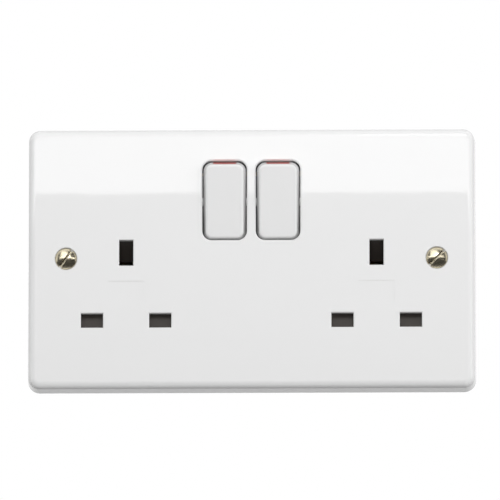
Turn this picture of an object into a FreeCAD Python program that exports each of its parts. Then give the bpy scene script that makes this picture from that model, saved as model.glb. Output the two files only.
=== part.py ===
import FreeCAD, Part
import math
import os

V = FreeCAD.Vector

# Twin switched wall socket, in millimetres
# X runs to the right, Y into the wall and Z up, and the wall's face is at Y 0

# Front plate
plate_width = 146.0
plate_height = 86.0
plate_depth = 9.0
face_wall = 3.0
side_wall = 2.4
side_draft = 4.0
corner_radius = 4.0
edge_radius = 2.5
inner_radius = 2.0
rib_width = 1.4
boss_radius = 3.0
pad_width = 11.7
pad_height = 7.2
pad_depth = 0.15
pad_drop = 1.8
stop_length = 24.0

# Pin openings of the two sockets
socket_pitch = 81.4
pin_pitch = 22.2
earth_rise = 22.2
earth_height = 1.9
earth_slot_width = 4.6
earth_slot_height = 8.4
line_slot_width = 7.2
line_slot_height = 4.7
slot_chamfer = 0.3
line_pin_length = 17.7
earth_pin_length = 22.7
pin_thickness = 4.0
earth_pin_height = 8.0
pin_end_room = 0.4

# Fixing screws
fixing_pitch = 120.6
fixing_radius = 1.75
fixing_shank_radius = 1.5
fixing_length = 26.0
fixing_head_radius = 3.5
fixing_head_rise = 1.1
fixing_sink = 0.3
fixing_boss_radius = 4.8
fixing_boss_step = 0.5
screw_slot_width = 0.9
screw_slot_depth = 1.1
left_slot_turn = 55.0
right_slot_turn = 45.0

# Rockers
rocker_pitch = 17.4
rocker_height = 19.1
aperture_width = 14.5
aperture_height = 26.2
aperture_chamfer = 0.4
rocker_corner = 2.0
rocker_edge = 0.8
rocker_stand = 1.3
rocker_shoulder = 1.5
rocker_wall = 1.8
rocker_skirt = 1.8
rocker_tilt = 6.0
pivot_radius = 1.4
keeper_height = 0.6
bearing_half = 4.0
barrel_radius = 2.6
barrel_bore = 1.7
barrel_reach = 4.5

# Plungers and rocking contacts
plunger_reach = 10.0
plunger_bar = 1.8
foot_radius = 1.2
foot_length = 1.7
stem_tail = 1.0
pole_pitch = 6.8
seesaw_length = 15.0
seesaw_width = 3.4
seesaw_thick = 1.0
seesaw_tilt = 9.0
knuckle_radius = 0.9
knuckle_set = 0.75
contact_arm = 6.3
tip_radius = 1.2
tip_height = 0.5
fixed_tip_height = 0.7
contact_gap = 0.25
ear_thick = 0.8

# Shutters and their springs
shutter_thick = 2.4
shutter_lap = 1.05
rail_width = 2.0
crossbar_height = 3.0
peg_radius = 0.8
peg_length = 1.5
shutter_spring_length = 15.0
spring_wire = 0.45
spring_radius = 1.25
shutter_turns = 6
plunger_turns = 4

# Brass strips and clips
strip_thick = 0.8
strap_width = 3.4
earth_width = 5.0
bar_height = 3.0
bar_drop = 2.8
bend_radius = 0.9
line_clip_width = 6.0
earth_clip_width = 6.0
clip_grip = 0.3
clip_flare = 0.8
clip_swell = 1.3
clip_mouth = 10.2
clip_waist = 2.8

# Terminals
block_width = 8.0
block_depth = 8.0
block_height = 9.0
block_pitch = 16.7
wire_radius = 2.1
wire_wall = 1.5
terminal_screw_radius = 1.7
terminal_head_radius = 2.7
terminal_head_height = 1.6

# Back moulding and assembly screws
mould_wall = 2.0
mould_corner = 2.5
core_corner = 1.2
back_lip = 1.7
shroud_lip = 0.6
core_skin = 1.8
assembly_radius = 1.4
assembly_head_radius = 2.6
assembly_head_height = 1.6
assembly_seat = 7.0
assembly_bite = 1.4
well_radius = 2.9
low_screw_drop = 7.4
middle_screw_height = -8.0

# Clearances
play = 0.15
run = 0.05
slide = 0.3
side_gap = 0.25
end_gap = 0.15
screw_gap = 0.9
well_gap = 1.5
over_cut = 1.0

# Places that follow from the sizes above
face_y = -plate_depth
inner_y = face_y + face_wall
shutter_y = inner_y + slide
deck_y = shutter_y + shutter_thick + slide
socket_x = socket_pitch / 2
near_x = socket_x - pin_pitch / 2
far_x = socket_x + pin_pitch / 2
earth_z = earth_height
line_z = earth_height - earth_rise
fixing_x = fixing_pitch / 2
rocker_x = rocker_pitch / 2
rocker_z = rocker_height
rocker_width = aperture_width - 2 * side_gap
rocker_end = aperture_height / 2 - end_gap
notch_reach = 2 * rocker_x
pivot_y = deck_y - keeper_height - pivot_radius - run
rocker_front = pivot_y - (face_y - rocker_stand)
rocker_top = math.sqrt(rocker_end ** 2 - rocker_front ** 2)
rocker_half = math.sqrt(rocker_end ** 2 - rocker_shoulder ** 2)
rocker_lean = rocker_half - rocker_top
tilt = math.radians(rocker_tilt)
relief_y = pivot_y + rocker_skirt + rocker_end * math.sin(tilt) + 2 * slide
seesaw_front = pivot_y + plunger_reach + play
seesaw_y = seesaw_front + seesaw_thick + knuckle_set
lean = math.radians(seesaw_tilt)
tip_back = tip_height - knuckle_set
fixed_tip_y = seesaw_y + tip_back * math.cos(lean) + contact_arm * math.sin(lean) + contact_gap
contact_z = rocker_z - tip_back * math.sin(lean) + contact_arm * math.cos(lean)
live_y = fixed_tip_y + fixed_tip_height
neutral_y = live_y + bar_drop
strap_y = face_y + line_pin_length + 2 * pin_end_room
earth_y = face_y + earth_pin_length + pin_end_room
tab_z = contact_z - tip_radius - slide
jog_z = contact_z + tip_radius + slide
bar_z = jog_z + strip_thick + 2 * slide
bar_top = bar_z + bar_height
clip_half = pin_thickness / 2 + clip_swell + strip_thick / 2
run_z = line_z + clip_half + 2 * mould_wall + strap_width / 2
inner_pole = rocker_x - pole_pitch / 2
outer_pole = rocker_x + pole_pitch / 2
ear_half = seesaw_width / 2 + play + ear_thick
strap_top = rocker_z + knuckle_radius + run + ear_thick
well_half = seesaw_length / 2 + well_gap
barrier_y = pivot_y + plunger_reach - foot_length + slide
line_half = line_slot_height / 2 + shutter_lap
shutter_travel = line_slot_height + shutter_lap + slide
shutter_half = pin_pitch / 2 + line_slot_width / 2 + shutter_lap
ramp_top = earth_z + earth_pin_height / 2 + slide
ramp_foot = ramp_top - shutter_travel
crossbar_top = ramp_top + crossbar_height
rail_x = earth_slot_width / 2 + 2 * slide
spring_y = shutter_y + spring_radius + spring_wire / 2
spring_end = crossbar_top + shutter_spring_length
block_y = live_y - play
block_back = block_y + block_depth
block_z = bar_top - block_height
line_block_x = socket_x - block_pitch
wire_y = block_y + wire_wall + wire_radius
screw_z = bar_top - block_height / 2
back_y = earth_y + strip_thick + back_lip
shroud_y = block_back + play + terminal_head_height + shroud_lip
mould_top = bar_top + mould_wall
mould_half = socket_x + block_width / 2 + mould_wall
foot_half = far_x + line_clip_width / 2 + play + mould_wall
foot_top = run_z + strap_width / 2 + play + mould_wall
core_y = strap_y + strip_thick + core_skin
low_screw_x = (inner_pole + near_x) / 2
low_screw_z = line_z - low_screw_drop
high_screw_x = (line_block_x + socket_x) / 2
assembly_points = [
    (-high_screw_x, screw_z),
    (high_screw_x, screw_z),
    (-low_screw_x, low_screw_z),
    (low_screw_x, low_screw_z),
    (0.0, middle_screw_height),
]
sides = {"left": -1, "right": 1}


def box(x0, x1, y0, y1, z0, z1):
    return Part.makeBox(x1 - x0, y1 - y0, z1 - z0, V(x0, y0, z0))


def rod(x, z, radius, y0, y1):
    return Part.makeCylinder(radius, y1 - y0, V(x, y0, z), V(0, 1, 0))


def axle(x0, x1, y, z, radius):
    return Part.makeCylinder(radius, x1 - x0, V(x0, y, z), V(1, 0, 0))


def joined(first, *others):
    return first.multiFuse(list(others)).removeSplitter()


def mirrored(shape, side):
    return shape if side > 0 else shape.mirror(V(0, 0, 0), V(1, 0, 0))


def round_rectangle(x, z, width, height, radius, y):
    """Wire of a rectangle with round corners, facing the front."""
    edges = []
    ends = []
    for quarter in range(4):
        middle = math.radians(90 * quarter + 45)
        cx = x + math.copysign(width / 2 - radius, math.cos(middle))
        cz = z + math.copysign(height / 2 - radius, math.sin(middle))
        spread = (-math.pi / 4, 0.0, math.pi / 4)
        points = [
            V(cx + radius * math.cos(middle + s), y, cz + radius * math.sin(middle + s))
            for s in spread
        ]
        edges.append(Part.Arc(*points).toShape())
        ends.append((points[0], points[2]))
    for here, after in zip(ends, ends[1:] + ends[:1]):
        edges.append(Part.makeLine(here[1], after[0]))
    return Part.Wire(Part.__sortEdges__(edges))


def round_prism(x, z, width, height, radius, y0, y1):
    face = Part.Face(round_rectangle(x, z, width, height, radius, y0))
    return face.extrude(V(0, y1 - y0, 0))


def rectangle(x, z, width, height, y):
    ends = [(-1, -1), (1, -1), (1, 1), (-1, 1), (-1, -1)]
    return Part.makePolygon([V(x + u * width / 2, y, z + w * height / 2) for u, w in ends])


def turned(points, x, z):
    """Solid of revolution about a front-to-back axis, from points of radius and depth."""
    outline = Part.makePolygon([V(r, y, 0) for r, y in points + points[:1]])
    solid = Part.Face(outline).revolve(V(0, 0, 0), V(0, 1, 0), 360)
    return solid.translated(V(x, 0, z))


def strip_side(points, shift, bend):
    """Edges along one side of a strip that is bent round each inner point."""
    edges = []
    start = None
    for a, b, c in zip(points, points[1:], points[2:]):
        into = (b - a).normalize()
        out = (c - b).normalize()
        left_in = V(-into.y, into.x, 0)
        left_out = V(-out.y, out.x, 0)
        hand = math.copysign(1, into.x * out.y - into.y * out.x)
        set_back = bend * math.tan(into.getAngle(out) / 2)
        centre = b - into * set_back + left_in * (hand * bend)
        radius = bend - hand * shift
        first = centre - left_in * (hand * radius)
        last = centre - left_out * (hand * radius)
        middle = centre - (left_in + left_out).normalize() * (hand * radius)
        edges.append(Part.makeLine(start or a + left_in * shift, first))
        edges.append(Part.Arc(first, middle, last).toShape())
        start = last
    end = points[-1] + left_out * shift
    edges.append(Part.makeLine(start, end))
    return edges, end


def bent_strip(path, thickness, bend, depth):
    """Strip of even thickness along a path in the XY plane, standing up by its depth."""
    points = [V(u, v, 0) for u, v in path]
    left, left_end = strip_side(points, thickness / 2, bend)
    right, right_end = strip_side(points, -thickness / 2, bend)
    first = Part.makeLine(left[0].Vertexes[0].Point, right[0].Vertexes[0].Point)
    last = Part.makeLine(left_end, right_end)
    wire = Part.Wire(Part.__sortEdges__(left + right + [first, last]))
    return Part.Face(wire).extrude(V(0, 0, depth))


def placed(shape, origin, u, v):
    """Put a shape drawn in the XY plane at an origin, with its X along u and its Y along v."""
    shape.Placement = FreeCAD.Placement(origin, FreeCAD.Rotation(u, v, u.cross(v), "ZXY"))
    return shape


def flat_strap(path, width, y):
    """Strap that lies in a front plane, from points of X and Z."""
    strap = bent_strip(path, width, width, strip_thick)
    return placed(strap, V(0, y + strip_thick, 0), V(1, 0, 0), V(0, 0, 1))


def channel(path, width, y0, y1):
    """Cutter for a strap's channel."""
    cut = bent_strip(path, width + 2 * play, width, y1 - y0)
    return placed(cut, V(0, y1, 0), V(1, 0, 0), V(0, 0, 1))


def clip_path(base_y):
    """Half of a pin clip's section, from its mouth to its base, as depth and offset."""
    grip = pin_thickness / 2 - clip_grip / 2 + strip_thick / 2
    mouth_y = face_y + clip_mouth
    half = [
        (mouth_y, grip + clip_flare),
        (mouth_y + clip_waist, grip),
        (base_y + strip_thick / 2, clip_half - strip_thick / 2),
    ]
    return half + [(y, -offset) for y, offset in reversed(half)]


def coil(length, turns):
    """Open coil spring that stands on the origin along Z."""
    rise = length - spring_wire
    helix = Part.makeHelix(rise / turns, rise, spring_radius)
    half = spring_wire / 2
    ring = [V(spring_radius + u * half, 0, w * half) for u, w in ((1, 0), (0, 1), (-1, 0), (0, -1))]
    section = Part.makePolygon(ring + ring[:1])
    spring = Part.Wire(helix.Edges).makePipeShell([section], True, True)
    return spring.translated(V(0, 0, half))


# Front plate


def plate_shell():
    shrink = 2 * plate_depth * math.tan(math.radians(side_draft))
    rim = round_rectangle(0, 0, plate_width, plate_height, corner_radius, 0)
    front = round_rectangle(
        0, 0, plate_width - shrink, plate_height - shrink, corner_radius - shrink / 2, face_y
    )
    body = Part.makeLoft([rim, front], True, True)
    on_face = [e for e in body.Edges if abs(e.BoundBox.YMax - face_y) < run]
    body = body.makeFillet(edge_radius, on_face)
    hollow_width = plate_width - 2 * side_wall
    hollow_height = plate_height - 2 * side_wall
    return body.cut(round_prism(0, 0, hollow_width, hollow_height, inner_radius, inner_y, over_cut))


def shutter_guides(x):
    """Ribs behind the face that guide and stop one shutter, and the seat of its spring."""
    low = line_z - line_half
    high = line_z + line_half + shutter_travel
    inside = shutter_half + slide
    outside = inside + rib_width
    half = stop_length / 2
    return [
        box(x + inside, x + outside, inner_y, deck_y, low, high),
        box(x - outside, x - inside, inner_y, deck_y, low, high),
        box(x - half, x + half, inner_y, deck_y, low - slide - rib_width, low - slide),
        box(x - rail_x, x + rail_x, inner_y, deck_y, spring_end, spring_end + rib_width),
    ]


def bearing_ribs():
    middle = rocker_x - aperture_width / 2
    outer = rocker_x + aperture_width / 2
    z0 = rocker_z - bearing_half
    z1 = rocker_z + bearing_half
    return [
        box(x0, x1, inner_y, deck_y, z0, z1)
        for x0, x1 in (
            (-middle, middle),
            (outer, outer + 2 * middle),
            (-outer - 2 * middle, -outer),
        )
    ]


def bearing_notch():
    bore = pivot_radius + run
    hole = axle(-notch_reach, notch_reach, pivot_y, rocker_z, bore)
    mouth = box(
        -notch_reach, notch_reach, pivot_y, deck_y, rocker_z - bore, rocker_z + bore
    )
    return hole.fuse(mouth)


def pin_slot(x, z, width, height):
    """Cutters for a square-cornered pin opening and its chamfered front edge."""
    half = width / 2
    tall = height / 2
    hole = box(x - half, x + half, face_y - over_cut, inner_y + over_cut, z - tall, z + tall)
    grow = 4 * slot_chamfer
    wide = rectangle(x, z, width + grow, height + grow, face_y - slot_chamfer)
    narrow = rectangle(x, z, width, height, face_y + slot_chamfer)
    return [hole, Part.makeLoft([wide, narrow], True, True)]


def rocker_aperture(x):
    """Cutters for a rocker's opening and its chamfered front edge."""
    radius = rocker_corner + rocker_lean
    size = (aperture_width, aperture_height, radius)
    hole = round_prism(x, rocker_z, *size, face_y - over_cut, inner_y + over_cut)
    grow = 4 * aperture_chamfer
    wide = round_rectangle(
        x, rocker_z, aperture_width + grow, aperture_height + grow, radius + grow / 2,
        face_y - aperture_chamfer,
    )
    narrow = round_rectangle(x, rocker_z, *size, face_y + aperture_chamfer)
    return [hole, Part.makeLoft([wide, narrow], True, True)]


def fixing_recess(x):
    head = fixing_head_radius + side_gap
    hole = fixing_radius + side_gap
    sink_y = face_y + fixing_sink
    outline = [
        (0, face_y - over_cut),
        (head, face_y - over_cut),
        (head, sink_y),
        (hole, sink_y + head - hole),
        (hole, over_cut),
        (0, over_cut),
    ]
    return turned(outline, x, 0)


def front_plate():
    added = bearing_ribs()
    cuts = [bearing_notch()]
    for side in sides.values():
        x = side * socket_x
        added += shutter_guides(x)
        added.append(rod(side * fixing_x, 0, fixing_boss_radius, inner_y, -fixing_boss_step))
        cuts.append(fixing_recess(side * fixing_x))
        cuts += pin_slot(x, earth_z, earth_slot_width, earth_slot_height)
        for pin_x in (x - pin_pitch / 2, x + pin_pitch / 2):
            cuts += pin_slot(pin_x, line_z, line_slot_width, line_slot_height)
        cuts += rocker_aperture(side * rocker_x)
        pad_z = (earth_z + line_z) / 2 - pad_drop
        pad_x = pad_width / 2
        pad_half = pad_height / 2
        cuts.append(
            box(
                x - pad_x, x + pad_x, face_y - over_cut, face_y + pad_depth,
                pad_z - pad_half, pad_z + pad_half,
            )
        )
    for x, z in assembly_points:
        added.append(rod(x, z, boss_radius, inner_y, deck_y))
        cuts.append(rod(x, z, assembly_radius + run, face_y + assembly_bite, deck_y))
    return joined(plate_shell(), *added).cut(Part.makeCompound(cuts))


# Rockers and plungers, drawn level and then tilted to the on position


def tilted(shape):
    return shape.rotated(V(0, pivot_y, rocker_z), V(1, 0, 0), rocker_tilt)


def rocker_outline(reach, inset):
    """Outline of a level rocker at a reach in front of its pivot, inset from its outside."""
    lean_in = rocker_lean * (reach - rocker_shoulder) / (rocker_front - rocker_shoulder)
    shrink = 2 * (lean_in + inset)
    radius = rocker_corner + rocker_lean - shrink / 2
    return round_rectangle(
        0, rocker_z, rocker_width - shrink, 2 * rocker_half - shrink, radius, pivot_y - reach
    )


def rocker_block(inset, front, back):
    """Block of a rocker's outline, which leans in evenly towards the front from its shoulder."""
    shoulder = rocker_outline(rocker_shoulder, inset)
    cap = Part.makeLoft([rocker_outline(front, inset), shoulder], True, True)
    return joined(cap, Part.Face(shoulder).extrude(V(0, rocker_shoulder + back, 0)))


def rocker(x):
    block = rocker_block(0, rocker_front, rocker_skirt)
    front_y = pivot_y - rocker_front
    block = block.makeFillet(
        rocker_edge, [e for e in block.Edges if abs(e.BoundBox.YMax - front_y) < run]
    )
    wall = rocker_wall
    ceiling = rocker_front - wall
    hollow = rocker_block(wall, ceiling, rocker_skirt + over_cut)
    block = block.cut(hollow)
    half = rocker_width / 2
    pin_reach = rocker_x - slide
    web = box(
        -half + wall / 2,
        half - wall / 2,
        pivot_y - ceiling,
        pivot_y,
        rocker_z - wall / 3,
        rocker_z + wall / 3,
    )
    parts = [
        axle(half - wall, pin_reach, pivot_y, rocker_z, pivot_radius),
        axle(-pin_reach, -half + wall, pivot_y, rocker_z, pivot_radius),
        rod(0, rocker_z, barrel_radius, pivot_y - ceiling, pivot_y + barrel_reach),
        web,
    ]
    bore = rod(0, rocker_z, barrel_bore, pivot_y - ceiling, pivot_y + barrel_reach)
    return tilted(joined(block, *parts).cut(bore)).translated(V(x, 0, 0))


def plunger(x):
    tip_y = pivot_y + plunger_reach
    bar_back = tip_y - foot_length
    bar_front = bar_back - plunger_bar
    half = pole_pitch / 2
    bar = round_prism(
        0, rocker_z, pole_pitch + 2 * foot_radius, 2 * foot_radius, foot_radius - run,
        bar_front, bar_back,
    )
    feet = []
    for foot_x in (-half, half):
        foot = rod(foot_x, rocker_z, foot_radius, bar_front, tip_y)
        nose = [e for e in foot.Edges if abs(e.BoundBox.YMin - tip_y) < run]
        feet.append(foot.makeChamfer(foot_radius / 2, nose))
    stem = rod(0, rocker_z, barrel_bore - 2 * run, pivot_y + stem_tail, bar_back)
    return tilted(joined(bar, stem, *feet)).translated(V(x, 0, 0))


def plunger_spring(x):
    floor_y = pivot_y - rocker_front + rocker_wall
    length = pivot_y + stem_tail - floor_y
    spring = coil(length, plunger_turns)
    spring.rotate(V(0, 0, 0), V(1, 0, 0), -90)
    return tilted(spring.translated(V(0, floor_y, rocker_z))).translated(V(x, 0, 0))


# Rocking contacts, drawn upright and then leaned to the closed position


def leaned(shape):
    return shape.rotated(V(0, seesaw_y, rocker_z), V(1, 0, 0), -seesaw_tilt)


def seesaw(x):
    back = seesaw_front + seesaw_thick
    blade = round_prism(
        x, rocker_z, seesaw_width, seesaw_length, seesaw_width / 4, seesaw_front, back
    )
    reach = ear_half - run
    knuckle = axle(x - reach, x + reach, seesaw_y, rocker_z, knuckle_radius)
    neck = box(
        x - seesaw_width / 2, x + seesaw_width / 2, back - run, seesaw_y,
        rocker_z - knuckle_radius / 2, rocker_z + knuckle_radius / 2,
    )
    return leaned(joined(blade, knuckle, neck))


def moving_tip(x):
    back = seesaw_front + seesaw_thick
    return leaned(rod(x, rocker_z + contact_arm, tip_radius, back, back + tip_height))


def fixed_tips():
    tips = []
    for x in (-outer_pole, -inner_pole, inner_pole, outer_pole):
        tip = rod(x, contact_z, tip_radius, fixed_tip_y, live_y)
        rim = [e for e in tip.Edges if abs(e.BoundBox.YMax - fixed_tip_y) < run]
        tips.append(tip.makeChamfer(fixed_tip_height / 2, rim))
    return Part.makeCompound(tips)


# Brass strips


def near_path():
    return [(near_x, line_z), (inner_pole, line_z), (inner_pole, strap_top)]


def far_path():
    return [(far_x, line_z), (far_x, run_z), (outer_pole, run_z), (outer_pole, strap_top)]


def cradle(x):
    """Pair of notched ears that carry a rocking contact's knuckle."""
    front = seesaw_y - knuckle_radius / 2
    half_height = strap_top - rocker_z
    ears = []
    for side in sides.values():
        x0, x1 = sorted((side * (ear_half - ear_thick), side * ear_half))
        ears.append(
            box(x + x0, x + x1, front, strap_y + strip_thick, rocker_z - half_height, strap_top)
        )
    foot = box(
        x - ear_half, x + ear_half, strap_y, strap_y + strip_thick,
        rocker_z - half_height, strap_top,
    )
    bore = knuckle_radius + run
    notch = axle(x - ear_half, x + ear_half, seesaw_y, rocker_z, bore)
    mouth = box(
        x - ear_half, x + ear_half, front - over_cut, seesaw_y, rocker_z - bore, rocker_z + bore
    )
    return joined(foot, *ears).cut(notch.fuse(mouth))


def line_contact(pin_x, pole_x, path):
    """Pin clip, strap and cradle of one pole, for the right-hand socket."""
    clip = bent_strip(clip_path(strap_y), strip_thick, bend_radius, line_clip_width)
    clip = placed(clip, V(pin_x - line_clip_width / 2, 0, line_z), V(0, 1, 0), V(0, 0, 1))
    return joined(clip, flat_strap(path, strap_width, strap_y), cradle(pole_x))


def bar_run(x0, x1, y):
    return box(x0, x1, y, y + strip_thick, bar_z, bar_top)


def live_bar():
    half = strap_width / 2
    tabs = [
        box(x - half, x + half, live_y, live_y + strip_thick, tab_z, bar_top)
        for x in (-inner_pole, outer_pole)
    ]
    reach = line_block_x - block_width / 2
    return joined(bar_run(-inner_pole - half, reach, live_y), *tabs)


def neutral_bar():
    half = strip_thick / 2
    path = [
        (live_y + half, tab_z),
        (live_y + half, jog_z + half),
        (neutral_y + half, jog_z + half),
        (neutral_y + half, bar_top),
    ]
    tabs = []
    for x in (-outer_pole, inner_pole):
        tab = bent_strip(path, strip_thick, bend_radius, strap_width)
        tabs.append(placed(tab, V(x - strap_width / 2, 0, 0), V(0, 1, 0), V(0, 0, 1)))
    reach = block_width / 2 - line_block_x
    return joined(bar_run(reach, inner_pole + strap_width / 2, neutral_y), *tabs)


def earth_bar():
    half = earth_width / 2
    run_bar = box(
        -socket_x, socket_x, earth_y, earth_y + strip_thick, earth_z - half, earth_z + half
    )
    parts = []
    for x in (-socket_x, socket_x):
        clip = bent_strip(clip_path(earth_y), strip_thick, bend_radius, earth_clip_width)
        corner = V(x, 0, earth_z + earth_clip_width / 2)
        parts.append(placed(clip, corner, V(0, 1, 0), V(1, 0, 0)))
        parts.append(
            box(x - half, x + half, earth_y, earth_y + strip_thick, earth_z - half, block_z)
        )
    return joined(run_bar, *parts)


# Terminals and screws


def terminal_places():
    return [-socket_x, -line_block_x, line_block_x, socket_x]


def terminal_block(x):
    half = block_width / 2
    block = box(x - half, x + half, block_y, block_back, block_z, bar_top)
    bore = Part.makeCylinder(wire_radius, block_height, V(x, wire_y, block_z), V(0, 0, 1))
    thread = rod(x, screw_z, terminal_screw_radius + run, wire_y, block_back)
    return block.cut(bore.fuse(thread))


def slotted(screw, x, z, head_y, depth, width, turn):
    """Cut a driving slot across the head of a screw."""
    reach = fixing_head_radius + over_cut
    cutter = box(-reach, reach, head_y, head_y + depth, -width / 2, width / 2)
    cutter.rotate(V(0, 0, 0), V(0, 1, 0), -turn)
    return screw.cut(cutter.translated(V(x, 0, z)))


def terminal_screws():
    screws = []
    tip_y = wire_y + wire_radius + run
    seat_y = block_back + play
    top_y = seat_y + terminal_head_height
    slot_depth = terminal_head_height / 2
    for number, x in enumerate(terminal_places()):
        shank = rod(x, screw_z, terminal_screw_radius, tip_y, seat_y)
        head = rod(x, screw_z, terminal_head_radius, seat_y, top_y)
        screw = joined(head, shank)
        turn = left_slot_turn * number
        screws.append(
            slotted(screw, x, screw_z, top_y - slot_depth, slot_depth, screw_slot_width, turn)
        )
    return Part.makeCompound(screws)


def assembly_screws():
    screws = []
    top_y = assembly_seat + assembly_head_height
    slot_depth = assembly_head_height / 2
    for number, (x, z) in enumerate(assembly_points):
        shank = rod(x, z, assembly_radius, face_y + assembly_bite + slide, assembly_seat)
        head = rod(x, z, assembly_head_radius, assembly_seat, top_y)
        screw = joined(head, shank)
        turn = right_slot_turn * number
        screws.append(
            slotted(screw, x, z, top_y - slot_depth, slot_depth, screw_slot_width, turn)
        )
    return Part.makeCompound(screws)


def fixing_screw(x, turn):
    rim = fixing_head_radius
    shank = fixing_shank_radius
    thread = fixing_radius
    sink_y = face_y + fixing_sink
    top_y = sink_y - fixing_head_rise
    tip_y = face_y + fixing_length
    dome = (rim ** 2 + fixing_head_rise ** 2) / (2 * fixing_head_rise)
    middle = rim / 2
    middle_y = top_y + dome - math.sqrt(dome ** 2 - middle ** 2)
    crown = Part.Arc(V(0, top_y, 0), V(middle, middle_y, 0), V(rim, sink_y, 0)).toShape()
    corners = [
        V(rim, sink_y, 0),
        V(shank, sink_y + rim - shank, 0),
        V(shank, 0, 0),
        V(thread, 0, 0),
        V(thread, tip_y - thread / 2, 0),
        V(thread / 2, tip_y, 0),
        V(0, tip_y, 0),
        V(0, top_y, 0),
    ]
    outline = Part.Wire([crown] + [Part.makeLine(a, b) for a, b in zip(corners, corners[1:])])
    screw = Part.Face(outline).revolve(V(0, 0, 0), V(0, 1, 0), 360).translated(V(x, 0, 0))
    return slotted(
        screw, x, 0, top_y - run, fixing_head_rise + screw_slot_depth / 2, screw_slot_width, turn
    )


def fixing_screws():
    return Part.makeCompound(
        [fixing_screw(-fixing_x, left_slot_turn), fixing_screw(fixing_x, right_slot_turn)]
    )


# Shutters


def shutter(x):
    back_y = shutter_y + shutter_thick
    wedge_y = shutter_y + shutter_travel
    low = line_z - line_half
    outer = rail_x + rail_width
    plate = box(-shutter_half, shutter_half, shutter_y, back_y, low, line_z + line_half)
    rails = [
        box(x0, x1, shutter_y, back_y, low, crossbar_top)
        for x0, x1 in ((-outer, -rail_x), (rail_x, outer))
    ]
    section = Part.makePolygon(
        [
            V(-outer, shutter_y, ramp_top),
            V(-outer, wedge_y, ramp_foot),
            V(-outer, wedge_y, crossbar_top),
            V(-outer, shutter_y, crossbar_top),
            V(-outer, shutter_y, ramp_top),
        ]
    )
    wedge = Part.Face(section).extrude(V(2 * outer, 0, 0))
    peg = Part.makeCylinder(peg_radius, peg_length, V(0, spring_y, crossbar_top), V(0, 0, 1))
    return joined(plate, wedge, peg, *rails).translated(V(x, 0, 0))


def shutter_spring(x):
    spring = coil(shutter_spring_length, shutter_turns)
    return spring.translated(V(x, spring_y, crossbar_top))


# Back moulding


def mould_body():
    foot_height = foot_top + mould_top
    foot_z = (foot_top - mould_top) / 2
    upper = round_prism(
        0, 0, 2 * mould_half, 2 * mould_top, mould_corner, deck_y, back_y
    )
    foot = round_prism(
        0, foot_z, 2 * foot_half, foot_height, mould_corner, deck_y, back_y
    )
    shroud_height = mould_top - block_z + mould_wall
    shroud = round_prism(
        0,
        mould_top - shroud_height / 2,
        2 * mould_half,
        shroud_height,
        mould_corner,
        back_y - over_cut,
        shroud_y,
    )
    keep_y = deck_y - keeper_height
    half = pivot_radius - run
    outer = rocker_x + aperture_width / 2
    inner = rocker_x - aperture_width / 2
    keepers = [
        box(x0, x1, keep_y, deck_y + over_cut, rocker_z - half, rocker_z + half)
        for x0, x1 in (
            (-inner + slide, inner - slide),
            (outer + slide, notch_reach - slide),
            (slide - notch_reach, -outer - slide),
        )
    ]
    return joined(upper, foot, shroud, *keepers)


def socket_pockets():
    """Cuts for the pin clips, straps, shutter and spring of the right-hand socket."""
    front_y = deck_y - over_cut
    strap_back = strap_y + strip_thick
    clip_x = line_clip_width / 2 + play
    clip_z = clip_half + play
    cuts = [
        box(x - clip_x, x + clip_x, front_y, strap_back, line_z - clip_z, line_z + clip_z)
        for x in (near_x, far_x)
    ]
    cuts.append(channel(near_path(), strap_width, front_y, strap_back))
    cuts.append(channel(far_path(), strap_width, front_y, strap_back))
    earth_x = clip_half + play
    half = earth_clip_width / 2 + play
    cuts.append(
        box(
            socket_x - earth_x, socket_x + earth_x, front_y, earth_y,
            earth_z - half, earth_z + half,
        )
    )
    reach = rail_x + rail_width + slide
    cuts.append(
        box(
            socket_x - reach, socket_x + reach, front_y, shutter_y + shutter_travel + slide,
            ramp_foot - slide, crossbar_top + shutter_travel + slide,
        )
    )
    groove = spring_radius + spring_wire
    cuts.append(
        box(
            socket_x - groove, socket_x + groove, front_y, spring_y + groove,
            crossbar_top, spring_end,
        )
    )
    return cuts


def switch_wells():
    """Cuts for the right-hand rocker, its plunger and its two rocking contacts."""
    relief_x = aperture_width / 2 - run
    relief_z = aperture_height / 2
    common_x = pole_pitch / 2 + ear_half + slide
    pole_half = ear_half + slide
    low = rocker_z - well_half
    high = rocker_z + well_half
    cuts = [
        box(
            rocker_x - relief_x, rocker_x + relief_x, deck_y - over_cut, relief_y,
            rocker_z - relief_z, rocker_z + relief_z,
        ),
        box(rocker_x - common_x, rocker_x + common_x, deck_y, barrier_y, low, high),
    ]
    for x in (inner_pole, outer_pole):
        cuts.append(box(x - pole_half, x + pole_half, deck_y, strap_y, low, high))
        foot = ear_half + play
        ear_z = strap_top - rocker_z + play
        cuts.append(
            box(
                x - foot, x + foot, deck_y, strap_y + strip_thick,
                rocker_z - ear_z, rocker_z + ear_z,
            )
        )
    return cuts


def bar_channels():
    """Cuts for the live and neutral bars, which differ from side to side."""
    half = strap_width / 2 + play
    block = line_block_x - block_width / 2
    high = bar_top + play
    front_y = deck_y - over_cut
    reach = block + over_cut
    live_back = live_y + strip_thick
    neutral_back = neutral_y + strip_thick
    cuts = [
        box(-inner_pole - half, reach, front_y, live_back, bar_z - play, high),
        box(-reach, inner_pole + half, front_y, neutral_back, bar_z - play, high),
    ]
    for x in (-inner_pole, outer_pole):
        cuts.append(box(x - half, x + half, front_y, live_back, tab_z, high))
    for x in (-outer_pole, inner_pole):
        cuts.append(box(x - half, x + half, front_y, neutral_back, jog_z - play, high))
    return cuts


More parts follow.
